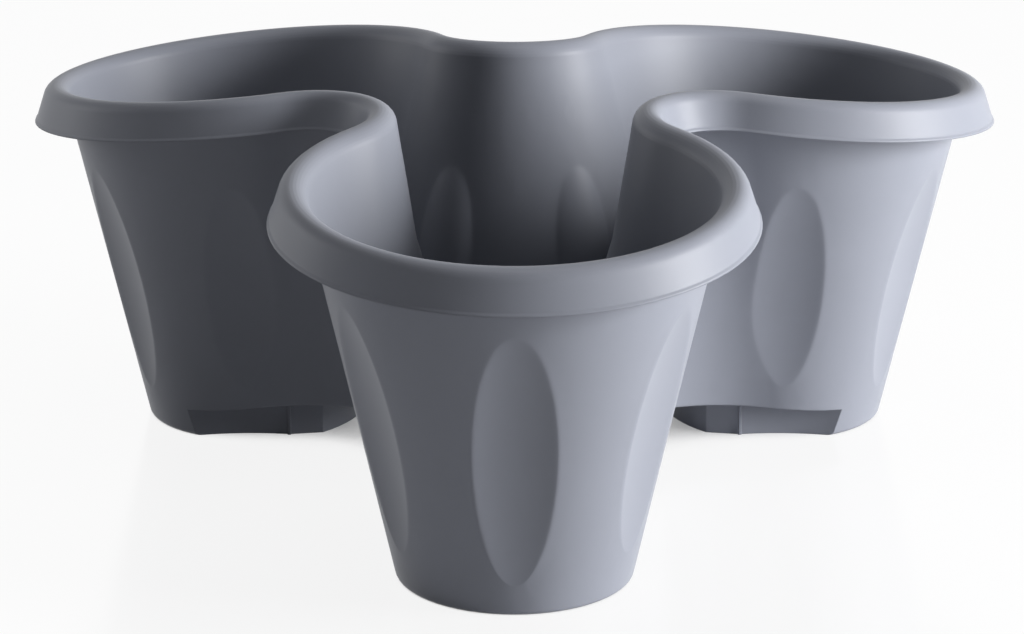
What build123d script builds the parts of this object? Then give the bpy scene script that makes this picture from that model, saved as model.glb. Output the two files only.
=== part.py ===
from build123d import *
import math
import os

os.makedirs("parts", exist_ok=True)

# Rim outline, on the outside of the wall, laid on a dome that is centred on the planter's axis
rim_height = 152.0
rim_throat = 59.2
rim_waist_radius = 35.0
rim_lobe_radius = 75.1
dome_radius = 1107.0

# Base outline, on the outside of the wall, at the ground
base_throat = 36.9
base_waist_radius = 74.9
base_lobe_radius = 42.5
base_round = 1.5

# Wall and floor
wall = 2.2
floor_thickness = 2.5
floor_round = 5.0

# Rolled lip: a broad bend out of the wall, a tight bend down and a skirt that leans out to a fine bead
crest_inner_radius = 6.5
crest_outer_radius = 4.5
lip_lean = 19.0
lip_drop = 13.2
lip_bead = 0.4
lip_bead_height = 1.2

# Leaf-shaped flutes: five round each lobe and two in each waist
flute_rim_gap = 43.5
flute_depth = 3.2
flute_scoop_radius = 82.0
tip_flute_bottom = 12.0
side_flute_turn = 60.0
side_flute_bottom = 16.0
flank_flute_foot_turn = 125.0
flank_flute_head_turn = 113.0
flank_flute_bottom = 25.0
flank_flute_depth = 2.4
waist_flute_rim_gap = 48.5
waist_flute_turn = 28.5
waist_flute_bottom = 26.0
waist_flute_depth = 3.0
waist_flute_scoop_radius = 18.0
flute_clearance = 1.2
flute_sweep_margin = 1.3
flute_root = 0.75

# Feet under the lobes, clear of the rim of a tier below that is turned by half a pitch
seat_height = 17.6
foot_wall = 3.0
foot_end_reach = 78.5
foot_corner_reach = 80.3
foot_corner_half_width = 14.0
rib_reach = 90.6
rib_width = 1.2
rib_height = 0.8
rib_clearance = 0.4
gap_overrun = 1.3

# Drain holes and their push-in plugs
drain_radius = 6.0
plug_clearance = 0.1
plug_flange_radius = 11.0
plug_flange_thickness = 2.0
plug_stem_below_floor = 3.0
plug_stem_wall = 1.6
plug_stem_lead = 0.5
plug_tab_width = 11.0
plug_tab_height = 9.0
plug_tab_thickness = 2.6

# Number of straight steps that make up the rounded edges
edge_steps = 3
lip_inner_steps = 4
crest_steps = 7

# Three-fold layout
lobe_count = 3
pitch = 360 / lobe_count
half_pitch = pitch / 2
lobe_angles = {"front": -90, "right": -90 + pitch, "left": -90 + 2 * pitch}
first_lobe = lobe_angles["front"]
sin_half_pitch = math.sin(math.radians(half_pitch))

# Base outline: each lobe arc runs tangent into the waist arcs beside it
base_waist_reach = base_throat + base_waist_radius
base_span = base_lobe_radius + base_waist_radius
base_lobe_reach = base_waist_reach / 2 + math.sqrt(base_span**2 - (base_waist_reach * sin_half_pitch) ** 2)
base_lobe_half = 180 - math.degrees(math.asin(base_waist_reach * sin_half_pitch / base_span))

# Rim outline: the same arcs as small circles of the dome, as angles seen from the dome's centre
dome_centre = rim_height - math.sqrt(dome_radius**2 - rim_throat**2)
waist_tilt = math.asin(rim_throat / dome_radius) + rim_waist_radius / dome_radius
rim_span = (rim_lobe_radius + rim_waist_radius) / dome_radius
rise_to_waist = math.cos(waist_tilt)
run_to_waist = math.sin(waist_tilt) * math.cos(math.radians(half_pitch))
lobe_tilt = math.atan2(run_to_waist, rise_to_waist)
lobe_tilt += math.acos(math.cos(rim_span) / math.hypot(run_to_waist, rise_to_waist))
rim_lobe_half = 180 - math.degrees(math.asin(math.sin(waist_tilt) * sin_half_pitch / math.sin(rim_span)))

# Wall slopes, and the crest's broad bend, which runs tangent out of the inner face of the wall
slope = (rim_lobe_radius - base_lobe_radius) / rim_height
wall_lean = math.degrees(math.atan(slope))
level_wall = wall / math.cos(math.radians(wall_lean))
crest_reach = (crest_inner_radius - wall) / math.cos(math.radians(wall_lean)) - slope * crest_inner_radius
lip_slope = math.tan(math.radians(lip_lean))

# Underside between the feet: the same dome as the rim, so that a tier sits on the waists of the tier below
seat_crown = seat_height + dome_radius - math.sqrt(dome_radius**2 - rim_throat**2)
floor_level = seat_crown + floor_thickness


def dome_point(tilt, turn, spin):
    """Point of the dome that is turned away from a tilted axis, at an angle about that axis."""
    point = Vector(0, 0, dome_radius).rotate(Axis.Y, math.degrees(turn)).rotate(Axis.Z, spin)
    return point.rotate(Axis.Y, math.degrees(tilt)) + Vector(0, 0, dome_centre)


def base_point(reach, radius, spin):
    """Point on a circle of the base outline, at an angle about the circle's centre."""
    return Vector(reach, 0, 0) + Vector(radius, 0, 0).rotate(Axis.Z, spin)


def ring(tip, joint, throat):
    """Closed ring of lobe and waist arcs, from three points of one lobe."""
    with BuildLine() as arcs:
        for angle in lobe_angles.values():
            start = Vector(joint.X, -joint.Y, joint.Z).rotate(Axis.Z, angle)
            end = joint.rotate(Axis.Z, angle)
            ThreePointArc(start, tip.rotate(Axis.Z, angle), end)
            ThreePointArc(end, throat.rotate(Axis.Z, angle), start.rotate(Axis.Z, pitch))
    return Wire(arcs.edges())


def base_points(inset):
    """Tip, joint and throat of a ring at the ground, inset from the base outline."""
    tip = base_point(base_lobe_reach, base_lobe_radius - inset, 0)
    joint = base_point(base_lobe_reach, base_lobe_radius - inset, base_lobe_half)
    throat = base_point(base_throat - inset, 0, 0).rotate(Axis.Z, half_pitch)
    return tip, joint, throat


def rim_points(reach, rise):
    """Tip, joint and throat of a ring round the rim, moved outward along the dome and then straight up."""
    lift = Vector(0, 0, rise)
    lobe_turn = (rim_lobe_radius + reach) / dome_radius
    waist_turn = (rim_waist_radius - reach) / dome_radius
    tip = dome_point(lobe_tilt, lobe_turn, 0) + lift
    joint = dome_point(lobe_tilt, lobe_turn, rim_lobe_half) + lift
    throat = dome_point(waist_tilt, waist_turn, 180).rotate(Axis.Z, half_pitch) + lift
    return tip, joint, throat


def wall_ring(inset, level):
    """Level ring, inset from the outside of the wall."""
    lines = zip(base_points(inset), rim_points(-inset, 0))
    return ring(*[foot + (head - foot) * (level / head.Z) for foot, head in lines])


def quarter_steps(steps):
    """Angles in radians that divide a quarter turn into equal steps."""
    return [math.radians(90 * step / steps) for step in range(steps + 1)]


def crest_arc(bend_radius, inset, first, last, steps):
    """Points, as outward reach and rise, on a bend of the crest, inset from its outside."""
    angles = [math.radians(first + (last - first) * step / steps) for step in range(steps + 1)]
    radius = bend_radius - inset
    return [(crest_reach + radius * math.cos(a), radius * math.sin(a) - bend_radius) for a in angles]


def skirt_reach(drop):
    """Outward reach of the lip's skirt at a drop below the crest."""
    skirt_top_reach, skirt_top_rise = crest_arc(crest_outer_radius, 0, lip_lean, lip_lean, 1)[0]
    return skirt_top_reach + (drop + skirt_top_rise) * lip_slope


# Shell: one skin that runs up the outside, under and over the lip and down the inside to the floor
shell_rings = []
for a in quarter_steps(edge_steps):
    shell_rings.append(wall_ring(base_round * (1 - math.sin(a)), base_round * (1 - math.cos(a))))
lip_section = crest_arc(crest_inner_radius, wall, 180 - wall_lean, 90, lip_inner_steps)
lip_section += crest_arc(crest_outer_radius, wall, 90, lip_lean, lip_inner_steps)[1:]
lip_section += [
    (skirt_reach(lip_drop) - wall / math.cos(math.radians(lip_lean)), -lip_drop),
    (skirt_reach(lip_drop) + lip_bead, -lip_drop),
    (skirt_reach(lip_drop - lip_bead_height / 2) + lip_bead, lip_bead_height / 2 - lip_drop),
    (skirt_reach(lip_drop - lip_bead_height), lip_bead_height - lip_drop),
]
lip_section += crest_arc(crest_outer_radius, 0, lip_lean, 90, crest_steps)
lip_section += crest_arc(crest_inner_radius, 0, 90, 180 - wall_lean, crest_steps)[1:]
shell_rings += [ring(*rim_points(reach, rise)) for reach, rise in lip_section]
for a in quarter_steps(edge_steps):
    inset = level_wall + floor_round * (1 - math.cos(a))
    shell_rings.append(wall_ring(inset, floor_level + floor_round * (1 - math.sin(a))))
shell = Solid.make_loft(shell_rings, ruled=True)

# Core: the solid inside the inner skin of the wall, closed well above the rim
core_levels = (0, rim_height - flute_rim_gap, rim_height + lip_drop)
core = Solid.make_loft([wall_ring(level_wall * flute_root, level) for level in core_levels], ruled=True)


def barrel(foot, head, outward, bottom, rim_gap, depth, scoop_radius, wall_curve, growth):
    """Barrel along the wall's slope, with its axis outside the wall, that presses one flute."""
    along = (head - foot).normalized()
    low = foot + along * (bottom / along.Z)
    high = foot + along * ((rim_height - rim_gap) / along.Z)
    normal = (outward - along * outward.dot(along)).normalized()
    centre = (low + high) * 0.5 + normal * (scoop_radius - depth)
    half_length = (high - low).length / 2
    belly_radius = (half_length**2 + depth**2) / (2 * depth)
    end_rise = depth + flute_clearance
    half_barrel = math.sqrt(belly_radius**2 - (belly_radius - end_rise) ** 2)
    half_width = math.sqrt(2 * depth / (1 / scoop_radius + wall_curve))
    half_sweep = math.degrees(flute_sweep_margin * half_width / scoop_radius)
    side = (-normal).rotate(Axis((0, 0, 0), along), -half_sweep)
    with BuildSketch(Plane(origin=centre, x_dir=side, z_dir=side.cross(along))) as profile:
        with BuildLine():
            middle_radius = scoop_radius + growth
            end_radius = middle_radius - end_rise
            belly = ThreePointArc((end_radius, -half_barrel), (middle_radius, 0), (end_radius, half_barrel))
            Line(belly @ 1, belly @ 0)
        make_face()
    revolve(profile.sketch, axis=Axis(centre, along), revolution_arc=2 * half_sweep)


def press_flutes(growth):
    """Barrels of all the flutes, grown by the wall for the inside."""
    lobe_curve = 2 / (base_lobe_radius + rim_lobe_radius)
    waist_curve = -2 / (base_waist_radius + rim_waist_radius)
    lobe_flutes = [(0, 0, tip_flute_bottom, flute_depth)]
    for side in (1, -1):
        lobe_flutes += [
            (side * side_flute_turn, side * side_flute_turn, side_flute_bottom, flute_depth),
            (
                side * flank_flute_foot_turn, side * flank_flute_head_turn,
                flank_flute_bottom, flank_flute_depth,
            ),
        ]
    for angle in lobe_angles.values():
        for foot_spin, head_spin, bottom, depth in lobe_flutes:
            foot = base_point(base_lobe_reach, base_lobe_radius, foot_spin).rotate(Axis.Z, angle)
            head = dome_point(lobe_tilt, rim_lobe_radius / dome_radius, head_spin).rotate(Axis.Z, angle)
            outward = Vector(1, 0, 0).rotate(Axis.Z, angle + (foot_spin + head_spin) / 2)
            barrel(
                foot, head, outward, bottom, flute_rim_gap,
                depth, flute_scoop_radius, lobe_curve, growth,
            )
        for spin in (180 - waist_flute_turn, 180 + waist_flute_turn):
            waist_angle = angle + half_pitch
            foot = base_point(base_waist_reach, base_waist_radius, spin).rotate(Axis.Z, waist_angle)
            head = dome_point(waist_tilt, rim_waist_radius / dome_radius, spin).rotate(Axis.Z, waist_angle)
            outward = Vector(-1, 0, 0).rotate(Axis.Z, waist_angle + spin)
            barrel(
                foot, head, outward, waist_flute_bottom, waist_flute_rim_gap,
                waist_flute_depth, waist_flute_scoop_radius, waist_curve, growth,
            )


with BuildPart() as flute_scoops:
    press_flutes(0)

with BuildPart() as flute_backs:
    press_flutes(wall)
    add(core, mode=Mode.INTERSECT)

# Stacking: the feet stand outside the lip of the tier below, with a rib on each side of a foot close to it
lower_lobe_reach = dome_radius * math.sin(lobe_tilt)
lower_lobe_along = lower_lobe_reach * math.cos(math.radians(half_pitch))
lower_lobe_side = lower_lobe_reach * sin_half_pitch
lower_lobe_radius = rim_lobe_radius + skirt_reach(lip_drop) + lip_bead + rib_clearance + rib_height
rib_angle = math.degrees(math.acos((rib_reach - lower_lobe_along) / lower_lobe_radius))
rib_side = lower_lobe_side - lower_lobe_radius * math.sin(math.radians(rib_angle))

# Gap between the feet, at one lobe: it ends at the foot's inner wall and runs into the lower lobes beside it
with BuildSketch() as gap:
    with BuildLine():
        inner_wall = ThreePointArc(
            (foot_corner_reach, -foot_corner_half_width), (foot_end_reach, 0),
            (foot_corner_reach, foot_corner_half_width),
        )
        panel = Vector(rib_reach, rib_side) - inner_wall @ 1
        panel_end = inner_wall @ 1 + panel * gap_overrun
        Polyline(
            inner_wall @ 1, panel_end, (0, rib_reach), (0, -rib_reach),
            (panel_end.X, -panel_end.Y), inner_wall @ 0,
        )
    make_face()

with BuildSketch() as grown_gap:
    add(gap.sketch)
    offset(amount=foot_wall, kind=Kind.INTERSECTION, mode=Mode.REPLACE)


def feet_plan(outline_inset, lobe_inset, gap_plan):
    """Plan of the three feet inside an inset base outline, cut by the tier below and the gap."""
    with BuildSketch() as plan:
        make_face(wall_ring(outline_inset, 0).edges())
        with PolarLocations(lower_lobe_reach, lobe_count, start_angle=first_lobe + half_pitch):
            Circle(lower_lobe_radius + lobe_inset, mode=Mode.SUBTRACT)
        with PolarLocations(0, lobe_count, start_angle=first_lobe):
            add(gap_plan, mode=Mode.SUBTRACT)
    return plan.sketch


# Space that the rim of the tier below comes up into
foot_outset = slope * seat_crown + base_round
with BuildPart() as seat_space:
    with BuildSketch():
        make_face(wall_ring(-foot_outset, 0).edges())
        add(feet_plan(-foot_outset, 0, gap.sketch), mode=Mode.SUBTRACT)
    extrude(amount=seat_crown)
    with Locations((0, 0, seat_crown - dome_radius)):
        Sphere(dome_radius, rotation=(90, 0, 0), mode=Mode.INTERSECT)

with BuildPart() as planter_body:
    add(shell)
    add(flute_backs.part)
    add(flute_scoops.part, mode=Mode.SUBTRACT)
    add(seat_space.part, mode=Mode.SUBTRACT)
    # Hollow the feet from below
    with BuildSketch() as hollows:
        add(feet_plan(foot_wall, foot_wall, grown_gap.sketch))
    extrude(amount=seat_crown, mode=Mode.SUBTRACT)
    # Upright ribs on the feet, where the inner wall meets the cut for the lip below
    with BuildSketch() as ribs:
        rib_length = rib_height + foot_wall / 2
        rib_radius = lower_lobe_radius - rib_height + rib_length / 2
        rib_middle = Vector(rib_radius, 0).rotate(Axis.Z, rib_angle)
        rib_middle += Vector(lower_lobe_along, -lower_lobe_side)
        with PolarLocations(0, lobe_count, start_angle=first_lobe):
            for side in (1, -1):
                with Locations((rib_middle.X, side * rib_middle.Y)):
                    Rectangle(rib_length, rib_width, rotation=side * rib_angle)
    extrude(amount=seat_crown)
    with BuildSketch() as drains:
        with PolarLocations(base_lobe_reach, lobe_count, start_angle=first_lobe):
            Circle(drain_radius)
    extrude(amount=floor_level, mode=Mode.SUBTRACT)
planter_body.part.label = "planter_body"
export_step(planter_body.part, "parts/planter_body.step")

# One plug for each drain hole: a flange on the floor, a hollow stem through it and a tab to pull
for place, angle in lobe_angles.items():
    seat_centre = Vector(base_lobe_reach, 0, floor_level).rotate(Axis.Z, angle)
    seat = Plane(origin=seat_centre, x_dir=Vector(1, 0, 0).rotate(Axis.Z, angle))
    stem_radius = drain_radius - plug_clearance
    stem_length = floor_thickness + plug_stem_below_floor
    with BuildPart() as drain_plug:
        with BuildSketch(seat):
            Circle(plug_flange_radius)
        extrude(amount=plug_flange_thickness)
        with BuildSketch(seat):
            Circle(stem_radius)
        extrude(amount=-stem_length)
        chamfer(drain_plug.edges().group_by(Axis.Z)[0], plug_stem_lead)
        with BuildSketch(seat):
            Circle(stem_radius - plug_stem_wall)
        extrude(amount=-stem_length, mode=Mode.SUBTRACT)
        tab_plane = Plane(origin=seat_centre, x_dir=seat.y_dir, z_dir=seat.x_dir)
        with BuildSketch(tab_plane.offset(-plug_tab_thickness / 2)):
            shoulder = plug_flange_thickness + plug_tab_height - plug_tab_width / 2
            with Locations((0, shoulder / 2)):
                Rectangle(plug_tab_width, shoulder)
            with Locations((0, shoulder)):
                Circle(plug_tab_width / 2)
        extrude(amount=plug_tab_thickness)
    drain_plug.part.label = f"drain_plug_{place}"
    export_step(drain_plug.part, f"parts/drain_plug_{place}.step")
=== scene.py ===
import math

import bmesh
import bpy
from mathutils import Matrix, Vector

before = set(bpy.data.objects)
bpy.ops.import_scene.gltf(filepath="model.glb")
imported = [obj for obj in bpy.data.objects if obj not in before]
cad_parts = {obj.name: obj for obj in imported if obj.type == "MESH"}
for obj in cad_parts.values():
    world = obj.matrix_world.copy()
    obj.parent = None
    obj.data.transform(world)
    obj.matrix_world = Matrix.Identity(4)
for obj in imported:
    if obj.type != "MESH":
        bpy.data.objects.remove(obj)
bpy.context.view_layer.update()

MM = 0.001

# Camera that took the photograph: its frame, how far and how high it stood, and its framing
FRAME_WIDTH = 1024
TARGET_HEIGHT = 63.7 * MM
CAMERA_DISTANCE = 1344.4 * MM
CAMERA_ELEVATION = math.radians(17.08)
FOCAL_PIXELS = 3476.0
SENSOR_WIDTH = 36.0
AXIS_RIGHT_OF_CENTRE = 2.6
AXIS_ABOVE_CENTRE = 16.5

# Studio lamps: a key soft box at the right, and weak ones at the left and overhead, that face the planter
KEY_PLACE = (1.735, -0.36, 0.52)
KEY_POWER = 72
FILL_PLACE = (-1.65, 0.55, 0.50)
FILL_POWER = 6.5
TOP_PLACE = (-0.1, 0.1, 1.5)
TOP_POWER = 5
SOFT_BOX_WIDTH = 0.8
LAMP_TARGET = (0, 0, 0.08)
ROOM_LIGHT = 0.005

# Floor: its size, how much of it looks white, and its polish
FLOOR_HALF_WIDTH = 6.0
FLOOR_WHITE = 0.94
FLOOR_POLISH = 0.06
FLOOR_POLISH_ROUGHNESS = 0.16

# Floor that the object shelters loses its white: how near the shelter is, and the open shares of the sky
# at which the white starts and is full
SHELTER_REACH = 60 * MM
SHELTERED = 0.04
UNSHELTERED = 0.3

# Edges of the moulding: fine on the feet and the lip, rounder on the flutes, with the levels between
# which the one becomes the other
FINE_EDGE = 0.7 * MM
FLUTE_EDGE = 3.0 * MM
FOOT_BAND = (14 * MM, 30 * MM)
LIP_BAND = (118 * MM, 108 * MM)


def linear(hex_colour):
    """Linear RGBA of an sRGB hex colour."""
    channels = [int(hex_colour[i:i + 2], 16) / 255 for i in (1, 3, 5)]
    return [c / 12.92 if c <= 0.04045 else ((c + 0.055) / 1.055) ** 2.4 for c in channels] + [1.0]


def add_node(owner, kind, settings=None, **links):
    """Adds a node to a material or world, sets its attributes and sockets, and links its inputs."""
    node = owner.node_tree.nodes.new(kind)
    for name, value in (settings or {}).items():
        if hasattr(node, name):
            setattr(node, name, value)
        else:
            node.inputs[name].default_value = value
    for name, output in links.items():
        owner.node_tree.links.new(output, node.inputs[name.replace("_", " ")])
    return node


def new_material(name):
    """Empty node material."""
    material = bpy.data.materials.new(name)
    material.use_nodes = True
    material.node_tree.nodes.clear()
    return material


def seen_background(owner):
    """Factor that is 1 where the camera, a reflection or a clear body looks at the background."""
    rays = add_node(owner, "ShaderNodeLightPath")
    seen = rays.outputs["Is Camera Ray"]
    for other in ("Is Glossy Ray", "Is Transmission Ray"):
        either = add_node(owner, "ShaderNodeMath", {"operation": "MAXIMUM"})
        owner.node_tree.links.new(seen, either.inputs[0])
        owner.node_tree.links.new(rays.outputs[other], either.inputs[1])
        seen = either.outputs["Value"]
    return seen


def moulded_polypropylene():
    """Injection-moulded polypropylene: satin slate grey with a fine mould grain and softened edges."""
    material = new_material("moulded_polypropylene_slate")
    place = add_node(material, "ShaderNodeTexCoord").outputs["Object"]
    # The grain is drawn coarser than a real mould's, so that it shows
    grain_width = 0.9 * MM
    grain_depth = 0.08 * MM
    cloud_width = 45 * MM
    grain = add_node(material, "ShaderNodeTexNoise", {"Scale": 1 / grain_width, "Detail": 2.0}, Vector=place)
    cloud = add_node(material, "ShaderNodeTexNoise", {"Scale": 1 / cloud_width, "Detail": 3.0}, Vector=place)
    tint = add_node(material, "ShaderNodeValToRGB", Fac=cloud.outputs["Fac"])
    tint.color_ramp.elements[0].color = linear("#7b7e87")
    tint.color_ramp.elements[1].color = linear("#81848d")
    gloss = add_node(material, "ShaderNodeMapRange", {"To Min": 0.40, "To Max": 0.48},
                     Value=cloud.outputs["Fac"])
    height = add_node(material, "ShaderNodeSeparateXYZ", Vector=place).outputs["Z"]
    round_edge = add_node(material, "ShaderNodeMath", {"operation": "MINIMUM"})
    for socket, (fine_level, flute_level) in zip(round_edge.inputs, (FOOT_BAND, LIP_BAND)):
        levels = {"From Min": fine_level, "From Max": flute_level}
        radii = {"To Min": FINE_EDGE, "To Max": FLUTE_EDGE}
        band = add_node(material, "ShaderNodeMapRange", levels | radii, Value=height)
        material.node_tree.links.new(band.outputs["Result"], socket)
    edges = add_node(material, "ShaderNodeBevel", {"samples": 8}, Radius=round_edge.outputs["Value"])
    bump = add_node(material, "ShaderNodeBump", {"Strength": 0.10, "Distance": grain_depth},
                    Height=grain.outputs["Fac"], Normal=edges.outputs["Normal"])
    shader = add_node(material, "ShaderNodeBsdfPrincipled", {"IOR": 1.49, "Specular IOR Level": 0.16},
                      Base_Color=tint.outputs["Color"], Roughness=gloss.outputs["Result"],
                      Normal=bump.outputs["Normal"])
    add_node(material, "ShaderNodeOutputMaterial", Surface=shader.outputs["BSDF"])
    return material


def moulded_rubber():
    """Moulded black rubber: matt, with a soft dusty bloom."""
    material = new_material("moulded_rubber_black")
    place = add_node(material, "ShaderNodeTexCoord").outputs["Object"]
    bloom_width = 3 * MM
    bloom_depth = 0.05 * MM
    bloom = add_node(material, "ShaderNodeTexNoise", {"Scale": 1 / bloom_width, "Detail": 4.0}, Vector=place)
    tint = add_node(material, "ShaderNodeValToRGB", Fac=bloom.outputs["Fac"])
    tint.color_ramp.elements[0].color = linear("#232325")
    tint.color_ramp.elements[1].color = linear("#303033")
    bump = add_node(material, "ShaderNodeBump", {"Strength": 0.2, "Distance": bloom_depth},
                    Height=bloom.outputs["Fac"])
    shader = add_node(material, "ShaderNodeBsdfPrincipled", {"IOR": 1.52, "Roughness": 0.65},
                      Base_Color=tint.outputs["Color"], Normal=bump.outputs["Normal"])
    add_node(material, "ShaderNodeOutputMaterial", Surface=shader.outputs["BSDF"])
    return material


def dress(node, material):
    """Gives a CAD node its finish."""
    node.data.materials.clear()
    node.data.materials.append(material)


def studio_floor():
    """White floor with a slight polish, with a pale shadow and reflection, darker where it is sheltered."""
    material = new_material("white_studio_floor")
    lit = add_node(material, "ShaderNodeBsdfPrincipled",
                   {"Base Color": linear("#e6e6e8"), "Roughness": 0.5})
    white = add_node(material, "ShaderNodeEmission", {"Color": linear("#ffffff"), "Strength": 1.0})
    mirror = add_node(material, "ShaderNodeBsdfAnisotropic",
                      {"Color": linear("#ffffff"), "Roughness": FLOOR_POLISH_ROUGHNESS})
    polished = add_node(material, "ShaderNodeMixShader", {"Fac": FLOOR_POLISH})
    material.node_tree.links.new(white.outputs["Emission"], polished.inputs[1])
    material.node_tree.links.new(mirror.outputs["BSDF"], polished.inputs[2])
    sky = add_node(material, "ShaderNodeAmbientOcclusion", {"samples": 8, "Distance": SHELTER_REACH})
    open_floor = add_node(material, "ShaderNodeMapRange",
                          {"From Min": SHELTERED, "From Max": UNSHELTERED, "To Max": FLOOR_WHITE},
                          Value=sky.outputs["AO"])
    share = add_node(material, "ShaderNodeMath", {"operation": "MULTIPLY"}, Value=seen_background(material))
    material.node_tree.links.new(open_floor.outputs["Result"], share.inputs[1])
    mix = add_node(material, "ShaderNodeMixShader", Fac=share.outputs["Value"])
    material.node_tree.links.new(lit.outputs["BSDF"], mix.inputs[1])
    material.node_tree.links.new(polished.outputs["Shader"], mix.inputs[2])
    add_node(material, "ShaderNodeOutputMaterial", Surface=mix.outputs["Shader"])
    mesh = bpy.data.meshes.new("studio_floor")
    shape = bmesh.new()
    bmesh.ops.create_grid(shape, x_segments=1, y_segments=1, size=FLOOR_HALF_WIDTH)
    shape.to_mesh(mesh)
    shape.free()
    mesh.materials.append(material)
    floor = bpy.data.objects.new("studio_floor", mesh)
    bpy.context.scene.collection.objects.link(floor)


def soft_box(name, place, power):
    """Square soft box lamp that faces the planter."""
    lamp = bpy.data.lights.new(name, "AREA")
    lamp.shape = "SQUARE"
    lamp.size = SOFT_BOX_WIDTH
    lamp.energy = power
    holder = bpy.data.objects.new(name, lamp)
    holder.location = place
    holder.rotation_euler = (Vector(LAMP_TARGET) - Vector(place)).to_track_quat("-Z", "Y").to_euler()
    bpy.context.scene.collection.objects.link(holder)


def studio_light():
    """White surroundings for the camera, a dim room for the object, and soft boxes."""
    world = bpy.data.worlds.new("studio")
    world.use_nodes = True
    world.node_tree.nodes.clear()
    seen = add_node(world, "ShaderNodeBackground", {"Color": linear("#ffffff"), "Strength": 1.0})
    room = add_node(world, "ShaderNodeBackground", {"Color": linear("#ffffff"), "Strength": ROOM_LIGHT})
    mix = add_node(world, "ShaderNodeMixShader", Fac=seen_background(world))
    world.node_tree.links.new(room.outputs["Background"], mix.inputs[1])
    world.node_tree.links.new(seen.outputs["Background"], mix.inputs[2])
    add_node(world, "ShaderNodeOutputWorld", Surface=mix.outputs["Shader"])
    bpy.context.scene.world = world
    soft_box("key_soft_box", KEY_PLACE, KEY_POWER)
    soft_box("fill_soft_box", FILL_PLACE, FILL_POWER)
    soft_box("top_soft_box", TOP_PLACE, TOP_POWER)


def photo_camera():
    """Camera at the photograph's viewing angle."""
    data = bpy.data.cameras.new("photo_camera")
    data.sensor_width = SENSOR_WIDTH
    data.lens = FOCAL_PIXELS * SENSOR_WIDTH / FRAME_WIDTH
    data.shift_x = -AXIS_RIGHT_OF_CENTRE / FRAME_WIDTH
    data.shift_y = -AXIS_ABOVE_CENTRE / FRAME_WIDTH
    camera = bpy.data.objects.new("photo_camera", data)
    target = Vector((0, 0, TARGET_HEIGHT))
    back = Vector((0, -math.cos(CAMERA_ELEVATION), math.sin(CAMERA_ELEVATION)))
    camera.location = target + back * CAMERA_DISTANCE
    camera.rotation_euler = (math.pi / 2 - CAMERA_ELEVATION, 0, 0)
    bpy.context.scene.collection.objects.link(camera)
    bpy.context.scene.camera = camera


slate = moulded_polypropylene()
rubber = moulded_rubber()
for name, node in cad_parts.items():
    dress(node, rubber if name.startswith("drain_plug") else slate)
studio_floor()
studio_light()
photo_camera()
bpy.context.scene.view_settings.view_transform = "Standard"
